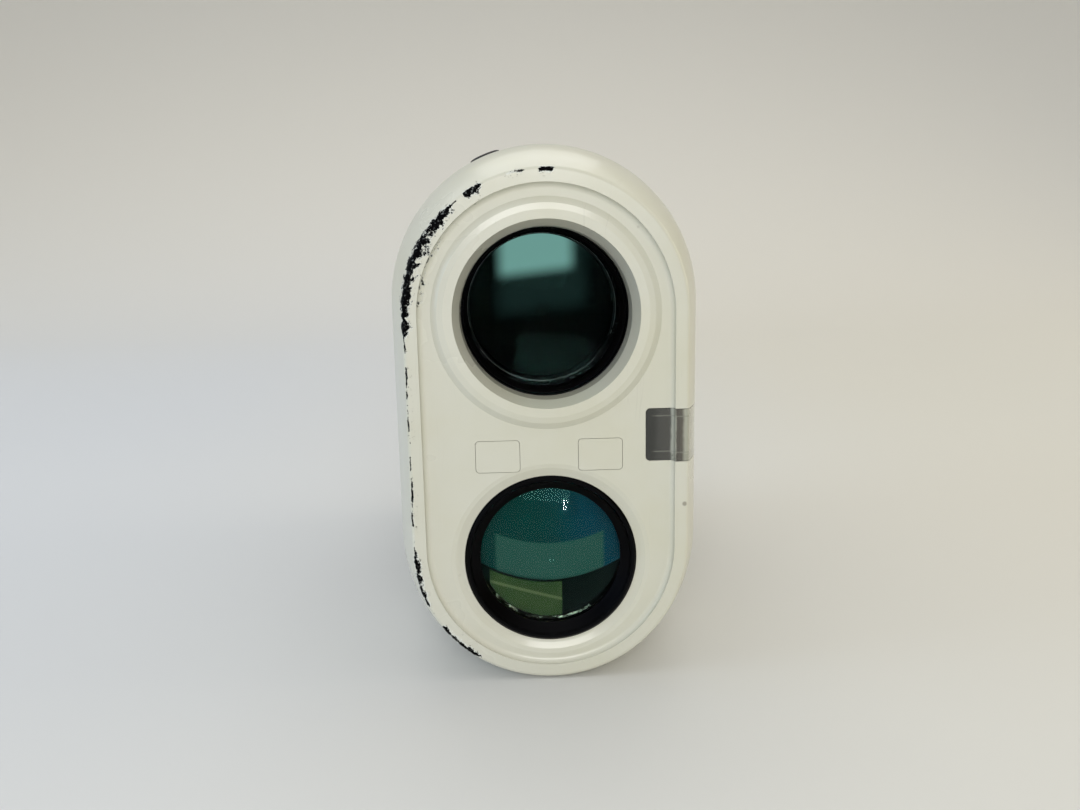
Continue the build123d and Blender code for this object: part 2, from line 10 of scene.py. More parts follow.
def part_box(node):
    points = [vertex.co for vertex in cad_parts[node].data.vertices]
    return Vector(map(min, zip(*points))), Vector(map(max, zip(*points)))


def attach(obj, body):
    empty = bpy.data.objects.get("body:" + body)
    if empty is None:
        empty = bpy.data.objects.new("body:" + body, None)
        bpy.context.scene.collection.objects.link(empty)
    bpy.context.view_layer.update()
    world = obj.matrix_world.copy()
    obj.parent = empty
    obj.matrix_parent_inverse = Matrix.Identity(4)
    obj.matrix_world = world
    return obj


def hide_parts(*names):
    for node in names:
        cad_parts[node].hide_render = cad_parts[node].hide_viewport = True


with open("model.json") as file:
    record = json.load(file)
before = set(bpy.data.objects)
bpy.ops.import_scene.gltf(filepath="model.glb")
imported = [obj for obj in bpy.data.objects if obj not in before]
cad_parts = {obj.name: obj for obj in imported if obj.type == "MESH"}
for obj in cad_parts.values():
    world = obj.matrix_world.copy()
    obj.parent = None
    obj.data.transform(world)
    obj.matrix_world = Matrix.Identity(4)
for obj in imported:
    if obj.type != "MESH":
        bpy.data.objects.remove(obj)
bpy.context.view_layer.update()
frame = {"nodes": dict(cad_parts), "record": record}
NODES = frame["nodes"]

# Lengths are in metres, as the frame's are; MM turns a length in millimetres into one.
MM = 0.001


def middle(node, axis):
    """Middle of a CAD node's box along one axis."""
    low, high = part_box(node)
    return (low[axis] + high[axis]) / 2


FRONT_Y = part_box("front_cover")[0][1]
FACE_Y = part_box("screw_cover_left")[0][1]
OBJECTIVE_Z = middle("objective_barrel", 2)
RECEIVER_Z = middle("receiver_ring", 2)
EYE_Z = middle("eyecup", 2)
RIM_RADIUS = 18.6 * MM          # end radius of the front rim
RIM_LOW_Z = 19.0 * MM           # centres of the rim's end arcs
RIM_HIGH_Z = OBJECTIVE_Z
CASE_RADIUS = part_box("front_gasket")[1][0] + 0.15 * MM
CASE_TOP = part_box("housing_left")[1][2]
CASE_HIGH_Z = CASE_TOP - CASE_RADIUS
CASE_LOW_Z = 19.6 * MM


# ---- node helpers ----
def put(tree, kind, settings=None, **sockets):
    """New shader node. settings are its properties.

    Sockets are set or linked by name, with _ standing for a space, or by number, as i0 or i1.
    """
    node = tree.nodes.new("ShaderNode" + kind)
    for key, value in (settings or {}).items():
        setattr(node, key, value)
    for key, value in sockets.items():
        name = key.replace("_", " ")
        socket = node.inputs[int(name[1:])] if name[0] == "i" and name[1:].isdigit() else node.inputs[name]
        if isinstance(value, bpy.types.NodeSocket):
            tree.links.new(value, socket)
        else:
            socket.default_value = value
    return node


def calc(tree, operation, *values):
    """Result of a Math node on numbers or sockets."""
    sockets = {f"i{index}": value for index, value in enumerate(values)}
    return put(tree, "Math", {"operation": operation}, **sockets).outputs[0]


def ramp(tree, value, low, high):
    """0 below low, 1 above high, smooth between. low above high turns it round."""
    settings = {"interpolation_type": "SMOOTHSTEP"}
    if isinstance(low, (int, float)) and isinstance(high, (int, float)) and low > high:
        return put(tree, "MapRange", settings, Value=value, From_Min=high, From_Max=low, To_Min=1.0,
                   To_Max=0.0).outputs[0]
    return put(tree, "MapRange", settings, Value=value, From_Min=low, From_Max=high).outputs[0]


def noise(tree, place, scale, detail=3.0, rough=0.5, distortion=0.0):
    """Value of a 3-D noise, about 0 to 1. scale is in features per metre."""
    return put(tree, "TexNoise", Vector=place, Scale=scale, Detail=detail, Roughness=rough,
               Distortion=distortion).outputs[0]


def steps(tree, value, stops):
    """Piecewise straight curve through (position, height) stops, as a grey colour ramp."""
    node = put(tree, "ValToRGB", Fac=value)
    ramp_points = node.color_ramp
    ramp_points.elements[0].position, ramp_points.elements[1].position = stops[0][0], stops[-1][0]
    ramp_points.elements[0].color = (*[stops[0][1]] * 3, 1)
    ramp_points.elements[1].color = (*[stops[-1][1]] * 3, 1)
    for position, height in stops[1:-1]:
        ramp_points.elements.new(position).color = (height, height, height, 1)
    return node.outputs[0]


def blend_colour(tree, share, first, second):
    """First colour where share is 0, second where it is 1."""
    node = put(tree, "Mix", {"data_type": "RGBA"}, Factor=share)
    for socket, value in ((node.inputs[6], first), (node.inputs[7], second)):
        if isinstance(value, bpy.types.NodeSocket):
            tree.links.new(value, socket)
        else:
            socket.default_value = (*value, 1)
    return node.outputs[2]


def group(name, inputs, outputs, fill):
    """Node group with float inputs {name: default} and float outputs.

    fill(tree, source) makes its nodes and returns its outputs.
    """
    tree = bpy.data.node_groups.new(name, "ShaderNodeTree")
    for label, default in inputs.items():
        socket = tree.interface.new_socket(label, in_out="INPUT", socket_type="NodeSocketFloat")
        socket.default_value = default
    for label in outputs:
        tree.interface.new_socket(label, in_out="OUTPUT", socket_type="NodeSocketFloat")
    source = tree.nodes.new("NodeGroupInput")
    drain = tree.nodes.new("NodeGroupOutput")
    for label, socket in zip(outputs, fill(tree, source.outputs)):
        tree.links.new(socket, drain.inputs[label])
    return tree


def use(tree, shared, **inputs):
    """Place a shared node group and return its outputs."""
    node = tree.nodes.new("ShaderNodeGroup")
    node.node_tree = shared
    for key, value in inputs.items():
        node.inputs[key].default_value = value
    return node.outputs


# ---- shared effects ----
def fill_grain(tree, given):
    """Moulded grain: two scales of noise added up, and a slow tone from a third."""
    place = put(tree, "TexCoord").outputs["Object"]
    fine = noise(tree, place, given["Scale"], 2.0, 0.6)
    coarse = noise(tree, place, calc(tree, "MULTIPLY", given["Scale"], 0.31), 3.0, 0.5)
    height = calc(tree, "ADD", calc(tree, "MULTIPLY", fine, 0.6), calc(tree, "MULTIPLY", coarse, 0.4))
    tone = noise(tree, place, calc(tree, "MULTIPLY", given["Scale"], 0.02), 4.0, 0.6)
    return height, tone


GRAIN = group("moulded_grain", {"Scale": 2500.0}, ("Height", "Tone"), fill_grain)


def fill_dust(tree, given):
    """Scattered specks: cells of a Voronoi pattern whose distance is small and whose random value is high."""
    place = put(tree, "TexCoord").outputs["Object"]
    cells = put(tree, "TexVoronoi", {"feature": "F1"}, Vector=place, Scale=given["Scale"])
    near = ramp(tree, cells.outputs["Distance"], 0.14, 0.06)
    pick = put(tree, "SeparateColor", Color=cells.outputs["Color"]).outputs[0]
    chosen = calc(tree, "GREATER_THAN", pick, calc(tree, "SUBTRACT", 1.0, given["Amount"]))
    return (calc(tree, "MULTIPLY", near, chosen),)


DUST = group("dust_specks", {"Scale": 900.0, "Amount": 0.1}, ("Mask",), fill_dust)


CHIP_START, CHIP_LENGTH = -5, 90     # stretch of rim that the chips' width is given on, in mm from the top
CHIP_WIDTHS = (                      # place along the rim in mm, and width there as a share of the full one
    (-1.5, 0.0), (-1.1, 0.34), (0.5, 0.38), (1.0, 0.0), (2.4, 0.0), (2.9, 0.2), (5.0, 0.24), (5.5, 0.0),
    (8.0, 0.0), (8.8, 0.6), (10.6, 0.72), (11.1, 0.05), (12.8, 0.1), (13.6, 0.66), (20, 0.95), (26, 0.95),
    (28.9, 0.8), (29.4, 0.3), (30, 0.74), (31.2, 0.62), (31.9, 0.16), (46, 0.13), (60.5, 0.2), (62.3, 0.46),
    (68.5, 0.4), (69.2, 0.06), (71.8, 0.06), (72.6, 0.44), (78, 0.4), (80, 0.1), (82, 0.0))


def fill_chips(tree, given):
    """Paint chips along the rim's outer corner.

    Place along the rim is an arc length from the top centre: radius times angle on the arcs, plus the drop
    down the straight. It sets a half width, made ragged and broken by noise. The place across the rim is the
    inset from the slot outline less the depth behind the crest.
    """
    place = put(tree, "TexCoord").outputs["Object"]
    x, y, z = put(tree, "SeparateXYZ", Vector=place).outputs
    held = calc(tree, "MINIMUM", calc(tree, "MAXIMUM", z, RIM_LOW_Z), RIM_HIGH_Z)
    rise = calc(tree, "SUBTRACT", z, held)
    squares = calc(tree, "ADD", calc(tree, "MULTIPLY", x, x), calc(tree, "MULTIPLY", rise, rise))
    reach = calc(tree, "SQRT", squares)
    inset = calc(tree, "SUBTRACT", RIM_RADIUS, reach)
    depth = calc(tree, "MULTIPLY", calc(tree, "SUBTRACT", y, FRONT_Y), 0.8)
    across = calc(tree, "SUBTRACT", calc(tree, "SUBTRACT", inset, depth), 0.1 * MM)
    angle = calc(tree, "ARCTAN2", calc(tree, "MULTIPLY", x, -1.0), rise)
    along = calc(tree, "MULTIPLY", angle, RIM_RADIUS)
    along = calc(tree, "ADD", along, calc(tree, "SUBTRACT", RIM_HIGH_Z, held))
    share = calc(tree, "DIVIDE", calc(tree, "ADD", along, -CHIP_START * MM), CHIP_LENGTH * MM)
    stops = [((at - CHIP_START) / CHIP_LENGTH, width) for at, width in CHIP_WIDTHS]
    width = calc(tree, "MULTIPLY", steps(tree, share, stops), given["Width"])
    width = calc(tree, "MULTIPLY", width, ramp(tree, x, 2.2 * MM, 1.8 * MM))
    ragged = noise(tree, place, 900.0, 8.0, 0.78, 0.3)
    wobble = calc(tree, "SUBTRACT", noise(tree, place, 260.0, 5.0, 0.65), 0.5)
    wander = calc(tree, "MULTIPLY", wobble, 1.0 * MM)
    across = calc(tree, "ABSOLUTE", calc(tree, "ADD", across, wander))
    jag = calc(tree, "MULTIPLY", calc(tree, "SUBTRACT", ragged, 0.5), 5.5)
    broken = calc(tree, "MULTIPLY", calc(tree, "SUBTRACT", noise(tree, place, 1500.0, 3.0, 0.6), 0.5), 1.8)
    limit = calc(tree, "MULTIPLY", width, calc(tree, "ADD", calc(tree, "ADD", jag, broken), 0.92))
    thin = ramp(tree, width, 0.32 * MM, 0.12 * MM)
    gaps = calc(tree, "MULTIPLY", ramp(tree, noise(tree, place, 420.0, 4.0, 0.7), 0.48, 0.56), thin)
    limit = calc(tree, "SUBTRACT", limit, calc(tree, "MULTIPLY", gaps, 0.5 * MM))
    margin = calc(tree, "SUBTRACT", limit, across)
    mask = ramp(tree, margin, 0.0, 0.03 * MM)
    spots = ramp(tree, noise(tree, place, 2300.0, 4.0, 0.7), 0.60, 0.66)
    beside = ramp(tree, margin, -0.9 * MM, -0.1 * MM)
    near = calc(tree, "MULTIPLY", beside, ramp(tree, width, 0.02 * MM, 0.2 * MM))
    mask = calc(tree, "MAXIMUM", mask, calc(tree, "MULTIPLY", spots, near))
    unchipped = calc(tree, "SUBTRACT", 1.0, mask)
    # The second output is a painted highlight: a thin rim on the paint just outside each chip, along its
    # broken edge.
    edge = calc(tree, "MULTIPLY", ramp(tree, margin, -0.3 * MM, -0.02 * MM), unchipped)
    edge = calc(tree, "MULTIPLY", edge, ramp(tree, width, 0.1 * MM, 0.3 * MM))
    return mask, edge


CHIPS = group("rim_chips", {"Width": 1.0 * MM}, ("Mask", "EdgeHighlight"), fill_chips)


def fill_scratches(tree, given):
    """Hairline scratches: thin bands where a stretched noise crosses its middle, kept only in patches."""
    place = put(tree, "TexCoord").outputs["Object"]
    lines = None
    for turn in (0.5, -0.9):
        turned = put(tree, "Mapping", Vector=place, Rotation=(0.3, turn, 0.2),
                     Scale=(1.0, 0.4, 0.05)).outputs[0]
        wave = noise(tree, turned, 420.0, 1.0, 0.5, 0.2)
        line = ramp(tree, calc(tree, "ABSOLUTE", calc(tree, "SUBTRACT", wave, 0.5)), 0.004, 0.001)
        lines = line if lines is None else calc(tree, "MAXIMUM", lines, line)
    patch = ramp(tree, noise(tree, place, 95.0, 2.0), calc(tree, "SUBTRACT", 1.0, given["Amount"]), 0.78)
    return (calc(tree, "MULTIPLY", lines, patch),)


SCRATCHES = group("hairline_scratches", {"Amount": 0.45}, ("Mask",), fill_scratches)


# ---- materials ----
PLATE_BOW = 28.0                # curve of the coated plate's edges: height gained is this times x squared
# The pale pair at 0.45 and 0.48 in the window bands is a painted highlight along the fold at the rim's foot.
WINDOW_BANDS = (                # share across the status window from its inner edge, and colour
    (0.05, (0.006, 0.008, 0.006)), (0.14, (0.012, 0.015, 0.011)), (0.22, (0.045, 0.047, 0.042)),
    (0.42, (0.065, 0.065, 0.056)), (0.45, (0.50, 0.52, 0.44)), (0.48, (0.50, 0.52, 0.44)),
    (0.51, (0.08, 0.073, 0.058)), (0.60, (0.11, 0.10, 0.08)), (0.65, (0.50, 0.51, 0.42)),
    (0.93, (0.62, 0.63, 0.52)))
PAINT_WHITE = (0.595, 0.595, 0.515)
PAINT_YELLOWED = (0.565, 0.56, 0.45)


def material(name, **values):
    """New material with its Principled shader's constants set; returns (material, tree, shader)."""
    made = bpy.data.materials.new(name)
    made.use_nodes = True
    tree = made.node_tree
    shader = tree.nodes["Principled BSDF"]
    for key, value in values.items():
        socket = shader.inputs[key.replace("_", " ")]
        is_colour = socket.type == "RGBA"
        socket.default_value = (*value, 1) if is_colour else value
    return made, tree, shader


def bump(tree, shader, height, distance, strength=1.0):
    """Feed a height into the shader's normal; distance is in metres."""
    node = put(tree, "Bump", Height=height, Distance=distance, Strength=strength)
    tree.links.new(node.outputs[0], shader.inputs["Normal"])


def white_paint():
    """Warm white gloss paint, chipped to black along the rim, with yellowing, hairlines, specks and a painted
    highlight round the chips.
    """
    made, tree, shader = material("white_paint", Coat_Roughness=0.10, IOR=1.5)
    chips = use(tree, CHIPS)
    specks = use(tree, DUST, Scale=330.0, Amount=0.03)["Mask"]
    hairlines = use(tree, SCRATCHES)["Mask"]
    place = put(tree, "TexCoord").outputs["Object"]
    stain = ramp(tree, noise(tree, place, 45.0, 4.0, 0.6), 0.35, 0.75)
    paint = blend_colour(tree, stain, PAINT_WHITE, PAINT_YELLOWED)
    paint = blend_colour(tree, calc(tree, "MULTIPLY", specks, 0.6), paint, (0.12, 0.10, 0.07))
    paint = blend_colour(tree, calc(tree, "MULTIPLY", hairlines, 0.25), paint, (0.34, 0.33, 0.28))
    # Painted highlight: a pale bluish rim round the chips.
    paint = blend_colour(tree, calc(tree, "MULTIPLY", chips["EdgeHighlight"], 0.45), paint, (0.80, 0.86, 0.88))
    flecks = ramp(tree, noise(tree, place, 2600.0, 3.0, 0.7), 0.58, 0.68)
    bare = blend_colour(tree, flecks, (0.003, 0.003, 0.0035), (0.16, 0.17, 0.17))
    colour = blend_colour(tree, chips["Mask"], paint, bare)
    tree.links.new(colour, shader.inputs["Base Color"])
    tree.links.new(chips["Mask"], shader.inputs["Metallic"])
    peel = noise(tree, place, 620.0, 2.0)
    rough = calc(tree, "ADD", 0.27, calc(tree, "MULTIPLY", stain, 0.10))
    rough = calc(tree, "ADD", rough, calc(tree, "MULTIPLY", chips["Mask"], 0.35))
    tree.links.new(rough, shader.inputs["Roughness"])
    tree.links.new(calc(tree, "MULTIPLY", calc(tree, "SUBTRACT", 1.0, chips["Mask"]), 0.35),
                   shader.inputs["Coat Weight"])
    height = calc(tree, "SUBTRACT", calc(tree, "MULTIPLY", peel, 0.10), chips["Mask"])
    height = calc(tree, "SUBTRACT", height, calc(tree, "MULTIPLY", hairlines, 0.06))
    bump(tree, shader, height, 0.05 * MM, 0.8)
    return made


def moulded(name, dark, light, rough, grain_scale, depth, spread=0.10, **values):
    """Moulded or coated finish: grain in the normal, slow tone in colour and roughness, a little dust."""
    made, tree, shader = material(name, **values)
    grain = use(tree, GRAIN, Scale=grain_scale)
    dust = use(tree, DUST, Scale=520.0, Amount=0.05)["Mask"]
    colour = blend_colour(tree, grain["Tone"], dark, light)
    colour = blend_colour(tree, calc(tree, "MULTIPLY", dust, 0.35), colour, (0.35, 0.33, 0.30))
    tree.links.new(colour, shader.inputs["Base Color"])
    tone = calc(tree, "MULTIPLY", calc(tree, "SUBTRACT", grain["Tone"], 0.5), spread)
    tree.links.new(calc(tree, "ADD", rough, tone), shader.inputs["Roughness"])
    bump(tree, shader, grain["Height"], depth)
    return made


def coated_glass(name, tint, body, ior=1.52, rough=0.0):
    """Optical glass: clear inside, its surface reflection weakened and tinted by the coating."""
    return material(name, Base_Color=body, Specular_Tint=tint, IOR=ior, Roughness=rough,
                    Transmission_Weight=1.0)[0]


def smoked_plastic():
    """Smoked translucent plastic for the status window: dense on the face, pale where it thins to the flank.

    Bands of colour follow X: an inner edge, the face, a painted highlight on the fold at the rim's foot, the
    rim and the flank. Two fine lines and a darker strip at the bottom follow Z.
    """
    made, tree, shader = material("smoked_window", IOR=1.49, Transmission_Weight=0.35, Coat_Weight=0.6,
                                  Coat_Roughness=0.05)
    place = put(tree, "TexCoord").outputs["Object"]
    x, y, z = put(tree, "SeparateXYZ", Vector=place).outputs
    haze = noise(tree, place, 420.0, 3.0)
    low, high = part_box("status_window")
    reach = calc(tree, "ADD", x, calc(tree, "MULTIPLY", calc(tree, "SUBTRACT", haze, 0.5), 0.5 * MM))
    share = put(tree, "MapRange", Value=reach, From_Min=low[0], From_Max=high[0]).outputs[0]
    bands = put(tree, "ValToRGB", Fac=share)
    points = bands.color_ramp.elements
    points[0].color, points[1].color = (0.006, 0.008, 0.006, 1), (0.40, 0.41, 0.33, 1)
    for at, colour in WINDOW_BANDS:
        points.new(at).color = (*colour, 1)
    height = put(tree, "MapRange", Value=z, From_Min=low[2], From_Max=high[2]).outputs[0]
    lines = None
    for at in (0.17, 0.86):
        line = ramp(tree, calc(tree, "ABSOLUTE", calc(tree, "SUBTRACT", height, at)), 0.02, 0.006)
        lines = line if lines is None else calc(tree, "MAXIMUM", lines, line)
    lines = calc(tree, "MULTIPLY", lines, ramp(tree, share, 0.05, 0.2))
    colour = blend_colour(tree, calc(tree, "MULTIPLY", lines, 0.45), bands.outputs[0], (0.30, 0.31, 0.26))
    flecks = ramp(tree, noise(tree, place, 1300.0, 3.0, 0.7), 0.55, 0.7)
    sill = calc(tree, "MULTIPLY", ramp(tree, height, 0.15, 0.13), calc(tree, "ADD", 0.35, flecks))
    colour = blend_colour(tree, calc(tree, "MULTIPLY", sill, 0.5), colour, (0.045, 0.045, 0.035))
    tree.links.new(colour, shader.inputs["Base Color"])
    tree.links.new(calc(tree, "ADD", 0.12, calc(tree, "MULTIPLY", haze, 0.12)), shader.inputs["Roughness"])
    return made


def soft_window(tree, x, z, left, right, low, edge):
    """Mask of a soft-edged opening: between left and right, above a lower edge that climbs to the right."""
    above = calc(tree, "SUBTRACT", calc(tree, "SUBTRACT", z, calc(tree, "MULTIPLY", x, 0.10)), low)
    from_left = ramp(tree, x, left - edge, left + edge)
    sides = calc(tree, "MULTIPLY", from_left, ramp(tree, x, right + edge, right - edge))
    return calc(tree, "MULTIPLY", sides, ramp(tree, above, -edge, edge))


def prism_light():
    """Black prism face with a painted glow for the viewing channel's light: a soft teal opening and a faint
    one below, given off by emission though no lamp is there.
    """
    made, tree, shader = material("prism_light", Base_Color=(0.002, 0.002, 0.002), Roughness=0.9,
                                  Specular_IOR_Level=0.0, Emission_Strength=1.0)
    place = put(tree, "TexCoord").outputs["Object"]
    x, y, z = put(tree, "SeparateXYZ", Vector=place).outputs
    z = calc(tree, "SUBTRACT", z, OBJECTIVE_Z)
    # Painted glow: bright and faint are emission masks that stand in for light coming through the optics.
    bright = soft_window(tree, x, z, -5.7 * MM, 4.7 * MM, 4.9 * MM, 1.3 * MM)
    faint = soft_window(tree, x, z, -6.0 * MM, 6.6 * MM, -0.6 * MM, 1.6 * MM)
    dust = use(tree, DUST, Scale=700.0, Amount=0.10)["Mask"]
    bright = calc(tree, "MULTIPLY", bright, calc(tree, "SUBTRACT", 1.0, calc(tree, "MULTIPLY", dust, 0.25)))
    colour = blend_colour(tree, faint, (0.0, 0.0, 0.0), (0.006, 0.014, 0.013))
    tree.links.new(blend_colour(tree, bright, colour, (0.16, 0.33, 0.30)), shader.inputs["Emission Color"])
    return made


def coated_plate():
    """Satin interference coating, deep teal and bluer to the right, with a painted reflection across its
    foot: a paler curved band that adds to the lens's own reflection of the floor.
    """
    made, tree, shader = material("coated_plate", Roughness=0.45, Specular_IOR_Level=0.05)
    place = put(tree, "TexCoord").outputs["Object"]
    x, y, z = put(tree, "SeparateXYZ", Vector=place).outputs
    z = calc(tree, "SUBTRACT", z, RECEIVER_Z)
    bow = calc(tree, "MULTIPLY", calc(tree, "MULTIPLY", x, x), PLATE_BOW)
    under = ramp(tree, calc(tree, "SUBTRACT", z, bow), 1.25 * MM, 0.95 * MM)
    inside = ramp(tree, calc(tree, "ABSOLUTE", x), 7.7 * MM, 7.1 * MM)
    cloud = noise(tree, place, 150.0, 2.0)
    blue = ramp(tree, calc(tree, "ADD", x, calc(tree, "MULTIPLY", cloud, 5 * MM)), -1 * MM, 11 * MM)
    deep = blend_colour(tree, blue, (0.001, 0.042, 0.038), (0.001, 0.045, 0.075))
    # Painted reflection: the paler band under the bowed edge stands in for the floor reflected in the
    # receiver lens.
    band = blend_colour(tree, cloud, (0.016, 0.082, 0.068), (0.026, 0.095, 0.076))
    colour = blend_colour(tree, calc(tree, "MULTIPLY", under, inside), deep, band)
    tree.links.new(colour, shader.inputs["Base Color"])
    bump(tree, shader, cloud, 0.02 * MM)
    return made


def green_ledge():
    """Satin green ledge under the coated plate, with a paler slanting streak."""
    made, tree, shader = material("green_ledge", Roughness=0.5, Specular_IOR_Level=0.06)
    place = put(tree, "TexCoord").outputs["Object"]
    x, y, z = put(tree, "SeparateXYZ", Vector=place).outputs
    dip = calc(tree, "MULTIPLY", calc(tree, "SUBTRACT", x, 2 * MM), -0.28)
    height = calc(tree, "SUBTRACT", z, RECEIVER_Z - 7.1 * MM)
    line = calc(tree, "ABSOLUTE", calc(tree, "SUBTRACT", height, dip))
    streak = calc(tree, "MULTIPLY", ramp(tree, line, 0.35 * MM, 0.05 * MM), 0.5)
    mottle = noise(tree, place, 260.0, 3.0)
    colour = blend_colour(tree, mottle, (0.014, 0.045, 0.011), (0.045, 0.095, 0.032))
    tree.links.new(blend_colour(tree, streak, colour, (0.18, 0.26, 0.12)), shader.inputs["Base Color"])
    bump(tree, shader, mottle, 0.03 * MM)
    return made


def broken_glint():
    """Polished bevel: bright metal broken into bits by noise, near black between them."""
    made, tree, shader = material("broken_glint", Metallic=1.0, Roughness=0.28)
    place = put(tree, "TexCoord").outputs["Object"]
    bits = ramp(tree, noise(tree, place, 700.0, 4.0, 0.65), 0.5, 0.62)
    colour = blend_colour(tree, bits, (0.01, 0.012, 0.01), (0.62, 0.80, 0.62))
    tree.links.new(colour, shader.inputs["Base Color"])
    bump(tree, shader, bits, 0.1 * MM)
    return made


def brushed(name, colour, rough):
    """Turned or brushed metal: fine streaks vary its roughness and normal."""
    made, tree, shader = material(name, Base_Color=colour, Metallic=1.0)
    place = put(tree, "TexCoord").outputs["Object"]
    stretched = put(tree, "Mapping", Vector=place, Scale=(1.0, 14.0, 1.0)).outputs[0]
    streak = noise(tree, stretched, 900.0, 3.0)
    tree.links.new(calc(tree, "ADD", rough, calc(tree, "MULTIPLY", streak, 0.2)), shader.inputs["Roughness"])
    bump(tree, shader, streak, 0.01 * MM)
    return made


MATERIALS = {
    "white_paint": white_paint(),
    "black_plastic": moulded("black_plastic", (0.004, 0.004, 0.005), (0.009, 0.009, 0.010), 0.34, 3200.0,
                             0.012 * MM, Specular_IOR_Level=0.3),
    "black_aluminium": moulded("black_aluminium", (0.003, 0.003, 0.0035), (0.006, 0.006, 0.007), 0.4, 5000.0,
                               0.006 * MM, Specular_IOR_Level=0.25),
    "soft_rubber": moulded("soft_rubber", (0.020, 0.019, 0.018), (0.036, 0.034, 0.032), 0.68, 1900.0,
                           0.035 * MM),
    "smoked_window": smoked_plastic(),
    "objective_glass": coated_glass("objective_glass", (0.025, 0.055, 0.05), (0.94, 0.98, 0.97), 1.26),
    "receiver_glass": coated_glass("receiver_glass", (0.05, 0.14, 0.13), (0.90, 0.97, 0.95), 1.5),
    "eyepiece_glass": coated_glass("eyepiece_glass", (0.6, 0.45, 0.95), (0.96, 0.96, 0.98), 1.52),
    "prism_glass": coated_glass("prism_glass", (0.8, 0.9, 1.0), (0.95, 0.98, 0.97), 1.57),
    "display_glass": coated_glass("display_glass", (1.0, 1.0, 1.0), (0.3, 0.3, 0.32), 1.5, 0.1),
    "filter_glass": coated_glass("filter_glass", (0.9, 0.3, 0.4), (0.25, 0.02, 0.05), 1.5),
    "steel": brushed("steel", (0.56, 0.55, 0.53), 0.28),
    "gilt_metal": brushed("gilt_metal", (0.80, 0.62, 0.30), 0.25),
    "tinned_metal": brushed("tinned_metal", (0.66, 0.66, 0.64), 0.35),
    "circuit_board": moulded("circuit_board", (0.010, 0.09, 0.035), (0.016, 0.13, 0.05), 0.35, 1500.0,
                             0.01 * MM),
    "chip_plastic": moulded("chip_plastic", (0.012, 0.012, 0.012), (0.02, 0.02, 0.02), 0.6, 3000.0,
                            0.01 * MM),
    "battery_wrap": moulded("battery_wrap", (0.02, 0.03, 0.07), (0.03, 0.04, 0.09), 0.25, 900.0, 0.004 * MM),
}

# Finishes that the record has no slot for. The blacks are metallic with a near-black colour, which reflects
# less than a plastic can.
EXTRA = {
    "deep_black": moulded("deep_black", (0.003, 0.003, 0.0035), (0.008, 0.008, 0.009), 0.3, 3200.0,
                          0.008 * MM, Metallic=1.0),
    "barrel_black": moulded("barrel_black", (0.003, 0.003, 0.0035), (0.008, 0.008, 0.009), 0.28, 5000.0,
                            0.004 * MM, Metallic=1.0),
    "dark_chrome": moulded("dark_chrome", (0.05, 0.055, 0.06), (0.09, 0.095, 0.10), 0.12, 4000.0, 0.004 * MM,
                           Metallic=1.0),
    "prism_light": prism_light(),
    "coated_plate": coated_plate(),
    "green_ledge": green_ledge(),
    "broken_glint": broken_glint(),
}
FINISH_OF = {"receiver_ring": "deep_black", "objective_barrel": "barrel_black"}

SLOT_OF = {part["node"]: part["material_slot"] for part in frame["record"]["subparts"]}
for node_name, node_object in NODES.items():
    node_object.data.materials.clear()
    finish_name = FINISH_OF.get(node_name)
    node_object.data.materials.append(EXTRA[finish_name] if finish_name else MATERIALS[SLOT_OF[node_name]])


# ---- surfaces worked out on grids ----
def add_mesh(name, points, faces, finish):
    """Mesh object from an (n, 3) array of points and a list or array of faces."""
    mesh = bpy.data.meshes.new(name)
    mesh.from_pydata(np.asarray(points).tolist(), [], [tuple(map(int, face)) for face in faces])
    mesh.polygons.foreach_set("use_smooth", np.ones(len(mesh.polygons), dtype=bool))
    piece = bpy.data.objects.new(name, mesh)
    bpy.context.scene.collection.objects.link(piece)
    mesh.materials.append(finish)
    return piece


def facet(piece):
    """Shade a mesh flat, for a surface of crisp teeth."""
    piece.data.polygons.foreach_set("use_smooth", np.zeros(len(piece.data.polygons), dtype=bool))


def grid_faces(rows, columns, close_columns=False, close_rows=False):
    """Quads of a grid of points stored row by row, optionally joined end to end."""
    row = np.arange(rows if close_rows else rows - 1)
    column = np.arange(columns if close_columns else columns - 1)
    r, c = np.meshgrid(row, column, indexing="ij")
    r_next, c_next = (r + 1) % rows, (c + 1) % columns
    return np.stack([r * columns + c, r * columns + c_next, r_next * columns + c_next, r_next * columns + c],
                    axis=-1).reshape(-1, 4)


def outward(piece):
    """Merge coincident points and turn the faces outwards."""
    work = bmesh.new()
    work.from_mesh(piece.data)
    bmesh.ops.remove_doubles(work, verts=work.verts, dist=0.002 * MM)
    bmesh.ops.recalc_face_normals(work, faces=work.faces)
    work.to_mesh(piece.data)
    work.free()
    return piece


def ring_about_y(name, outline, z, finish, around=216, closed=True, swell=None):
    """Surface turned about a Y axis at height z.

    outline is n rows of (radius, y). A point is (radius sin t, y, z + radius cos t), and swell(t, row)
    adds to the radius.
    """
    turn = np.linspace(0, 2 * math.pi, around, endpoint=False)
    radius, depth = outline[:, 0][:, None], outline[:, 1][:, None]
    if swell is not None:
        radius = radius + swell(turn[None, :], outline)
    points = np.stack(np.broadcast_arrays(radius * np.sin(turn), depth, z + radius * np.cos(turn)), axis=-1)
    faces = grid_faces(len(outline), around, close_columns=True, close_rows=closed)
    piece = add_mesh(name, points.reshape(-1, 3), faces, finish)
    return outward(piece) if closed else piece


def rounded(outline, size, count=5):
    """Closed outline of (radius, y) corners with each corner turned into a curve of the given size."""
    corners = np.asarray(outline, dtype=float)
    before, after = np.roll(corners, 1, axis=0), np.roll(corners, -1, axis=0)

    def towards(other):
        gap = other - corners
        length = np.linalg.norm(gap, axis=1, keepdims=True)
        return corners + gap / length * np.minimum(size, 0.45 * length)

    start, end = towards(before), towards(after)
    share = np.linspace(0, 1, count)[None, :, None]
    middle_part = 2 * share * (1 - share) * corners[:, None]
    curve = (1 - share) ** 2 * start[:, None] + middle_part + share ** 2 * end[:, None]
    return curve.reshape(-1, 2)


